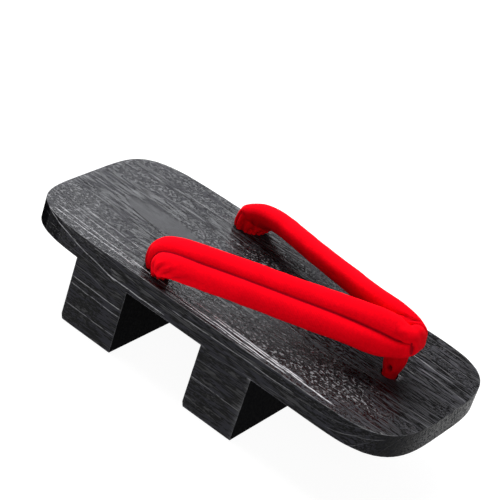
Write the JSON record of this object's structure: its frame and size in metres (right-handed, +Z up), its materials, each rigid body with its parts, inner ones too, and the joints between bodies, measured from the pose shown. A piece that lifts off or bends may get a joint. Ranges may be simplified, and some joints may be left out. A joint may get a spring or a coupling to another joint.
{
  "type": "geta sandal",
  "caption": "Black-lacquered wooden geta: one carved block with a flat deck and cross teeth, a padded red cloth strap pair that meets in a front thong held through the deck",
  "frame": {"origin": "on the floor, under the centre of the deck's length and width", "axes": "+X towards the toe, +Y towards the wearer's left, +Z up"},
  "size_m": [0.262, 0.114, 0.0932],
  "materials": {
    "lacquered_wood": "satin black lacquer over brushed grain",
    "strap_cloth": "matte brushed cotton, softly padded",
    "knot_cord": "matte twisted cotton cord"
  },
  "bodies": {
    "root": {"wood_block": "lacquered_wood", "strap_pair": "strap_cloth", "front_thong": "strap_cloth", "front_knot": "knot_cord", "rear_knot_left": "knot_cord", "rear_knot_right": "knot_cord"}
  },
  "joints": []
}
